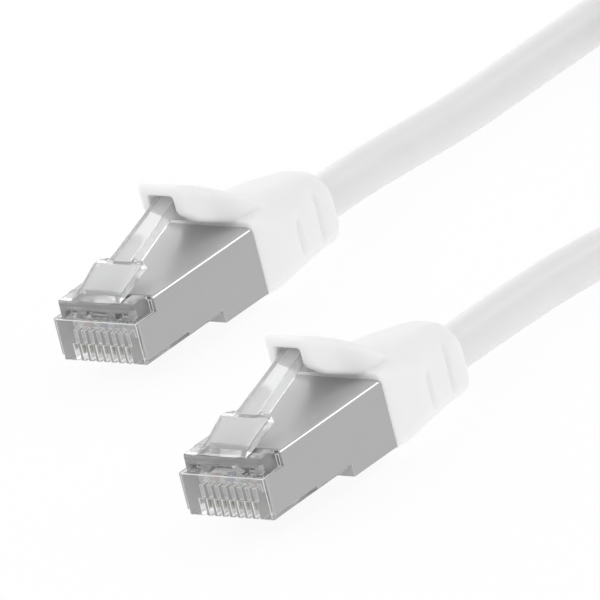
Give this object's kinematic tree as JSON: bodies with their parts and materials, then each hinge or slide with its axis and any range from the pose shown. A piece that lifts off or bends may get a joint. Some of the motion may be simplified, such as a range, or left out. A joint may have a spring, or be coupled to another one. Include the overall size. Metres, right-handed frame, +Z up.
{
  "type": "ethernet patch cable",
  "caption": "White shielded ethernet patch cord with clear-nosed modular plugs, sprung latches and moulded boots, its slack coiled and held by a strap.",
  "frame": {"origin": "on the table, midway between the two plugs", "axes": "+Y from the plugs back along the cord, +Z up, +X from the rear plug (a) to the front plug (b)"},
  "size_m": [0.0764, 0.175, 0.0162],
  "materials": {
    "clear_plastic": "clear polished polycarbonate",
    "shield_steel": "satin nickel-plated sheet",
    "contact_gold": "thin gold plating",
    "foil": "bright foil",
    "jacket_white": "smooth satin",
    "boot_white": "fine moulded grain",
    "tie_fabric": "short hook-and-loop pile",
    "wire_white_orange": "smooth insulation",
    "wire_orange": "smooth insulation",
    "wire_white_green": "smooth insulation",
    "wire_blue": "smooth insulation",
    "wire_white_blue": "smooth insulation",
    "wire_green": "smooth insulation",
    "wire_white_brown": "smooth insulation",
    "wire_brown": "smooth insulation"
  },
  "bodies": {
    "cable": {"housing_a": "clear_plastic", "shield_a": "shield_steel", "load_bar_a": "clear_plastic", "foil_a": "foil", "jacket_end_a": "jacket_white", "boot_a": "boot_white", "housing_b": "clear_plastic", "shield_b": "shield_steel", "load_bar_b": "clear_plastic", "foil_b": "foil", "jacket_end_b": "jacket_white", "boot_b": "boot_white", "contact_a1": "contact_gold", "contact_a2": "contact_gold", "contact_a3": "contact_gold", "contact_a4": "contact_gold", "contact_a5": "contact_gold", "contact_a6": "contact_gold", "contact_a7": "contact_gold", "contact_a8": "contact_gold", "contact_b1": "contact_gold", "contact_b2": "contact_gold", "contact_b3": "contact_gold", "contact_b4": "contact_gold", "contact_b5": "contact_gold", "contact_b6": "contact_gold", "contact_b7": "contact_gold", "contact_b8": "contact_gold", "wire_a1": "wire_white_orange", "wire_a2": "wire_orange", "wire_a3": "wire_white_green", "wire_a4": "wire_blue", "wire_a5": "wire_white_blue", "wire_a6": "wire_green", "wire_a7": "wire_white_brown", "wire_a8": "wire_brown", "wire_b1": "wire_white_orange", "wire_b2": "wire_orange", "wire_b3": "wire_white_green", "wire_b4": "wire_blue", "wire_b5": "wire_white_blue", "wire_b6": "wire_green", "wire_b7": "wire_white_brown", "wire_b8": "wire_brown", "cable_lead_a": "jacket_white", "cable_coil": "jacket_white", "cable_lead_b": "jacket_white", "coil_tie": "tie_fabric"},
    "latch_a": {"latch_a": "clear_plastic"},
    "tongue_a": {"tongue_a": "boot_white"},
    "latch_b": {"latch_b": "clear_plastic"},
    "tongue_b": {"tongue_b": "boot_white"}
  },
  "joints": [
    {"name": "tongue_a_flex", "type": "hinge", "parent": "cable", "child": "tongue_a", "pos_m": [-0.0213, 0.02125, 0.01005], "axis": [1, 0, 0], "range_deg": [0, 17], "stiffness_Nm_per_rad": 0.15},
    {"name": "latch_a_hinge", "type": "hinge", "parent": "cable", "child": "latch_a", "pos_m": [-0.0213, 0.00075, 0.0091], "axis": [-1, 0, 0], "range_deg": [0, 12]},
    {"name": "tongue_b_flex", "type": "hinge", "parent": "cable", "child": "tongue_b", "pos_m": [0.0213, -0.01125, 0.01005], "axis": [1, 0, 0], "range_deg": [0, 17], "stiffness_Nm_per_rad": 0.15},
    {"name": "latch_b_hinge", "type": "hinge", "parent": "cable", "child": "latch_b", "pos_m": [0.0213, -0.03175, 0.0091], "axis": [-1, 0, 0], "range_deg": [0, 12]}
  ],
  "couplings": [
    {"joint": "latch_a_hinge", "follows": "tongue_a_flex", "ratio": 0.7058},
    {"joint": "latch_b_hinge", "follows": "tongue_b_flex", "ratio": 0.7058}
  ]
}
